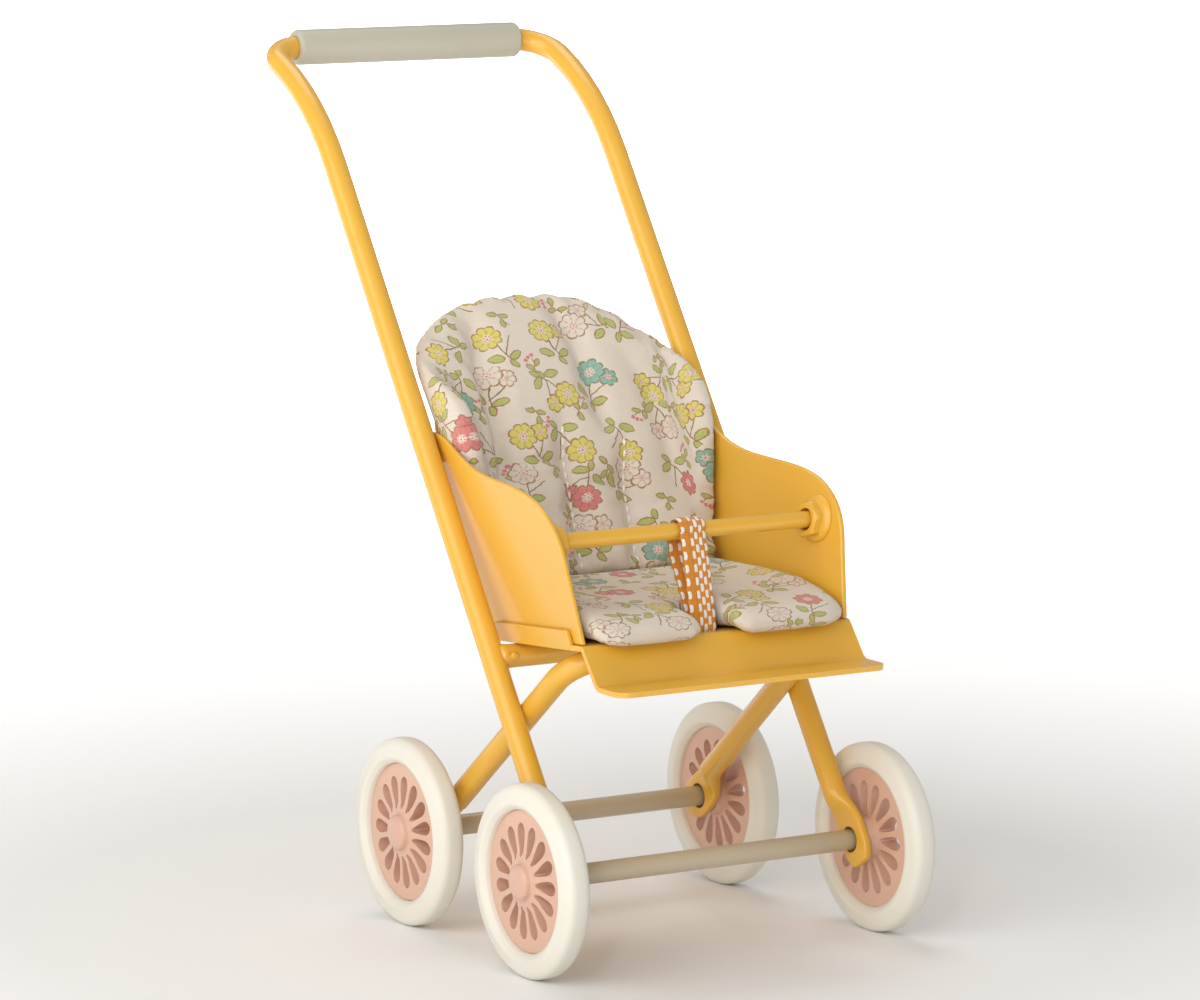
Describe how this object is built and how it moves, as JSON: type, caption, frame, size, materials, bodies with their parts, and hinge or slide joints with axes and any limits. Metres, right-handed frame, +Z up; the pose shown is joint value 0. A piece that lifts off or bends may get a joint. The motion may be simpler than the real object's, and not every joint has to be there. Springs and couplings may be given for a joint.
{
  "type": "doll stroller",
  "caption": "Doll stroller with an enamelled tube frame, a folded sheet metal bucket seat with a padded insert, a guard bar with a crotch strap, and wheels that turn.",
  "frame": {"origin": "on the ground under the middle of the whole stroller", "axes": "+Z up, the stroller faces -Y, and its own right side is -X"},
  "size_m": [0.0914, 0.1498, 0.1855],
  "materials": {
    "yellow_enamel": "gloss enamel over steel, slightly uneven",
    "axle_enamel": "satin enamel",
    "grip_plastic": "satin",
    "tyre_rubber": "smooth, satin",
    "disc_plastic": "satin, moulded",
    "printed_cotton": "printed plain-weave cotton, padded",
    "woven_strap": "narrow woven braid"
  },
  "bodies": {
    "frame": {"handle_frame": "yellow_enamel", "leg_frame": "yellow_enamel", "cross_tube": "yellow_enamel", "handle_grip": "grip_plastic", "seat_pan": "yellow_enamel", "side_panel_right": "yellow_enamel", "side_panel_left": "yellow_enamel", "guard_nut_right": "yellow_enamel", "guard_nut_left": "yellow_enamel", "crotch_strap": "woven_strap", "seat_pad": "printed_cotton", "back_plate": "yellow_enamel", "back_pad": "printed_cotton"},
    "front_wheels": {"front_axle": "axle_enamel", "front_tyre_right": "tyre_rubber", "front_wheel_right": "disc_plastic", "front_tyre_left": "tyre_rubber", "front_wheel_left": "disc_plastic"},
    "rear_wheels": {"rear_axle": "axle_enamel", "rear_tyre_right": "tyre_rubber", "rear_wheel_right": "disc_plastic", "rear_tyre_left": "tyre_rubber", "rear_wheel_left": "disc_plastic"},
    "guard_bar": {"guard_bar": "yellow_enamel"}
  },
  "joints": [
    {"name": "front_wheels_spin", "type": "hinge", "parent": "frame", "child": "front_wheels", "pos_m": [0, -0.05491, 0.02], "axis": [1, 0, 0], "continuous": true},
    {"name": "rear_wheels_spin", "type": "hinge", "parent": "frame", "child": "rear_wheels", "pos_m": [0, 0.00109, 0.02], "axis": [1, 0, 0], "continuous": true},
    {"name": "guard_bar_spin", "type": "hinge", "parent": "frame", "child": "guard_bar", "pos_m": [0, -0.04641, 0.0873], "axis": [1, 0, 0], "continuous": true}
  ]
}
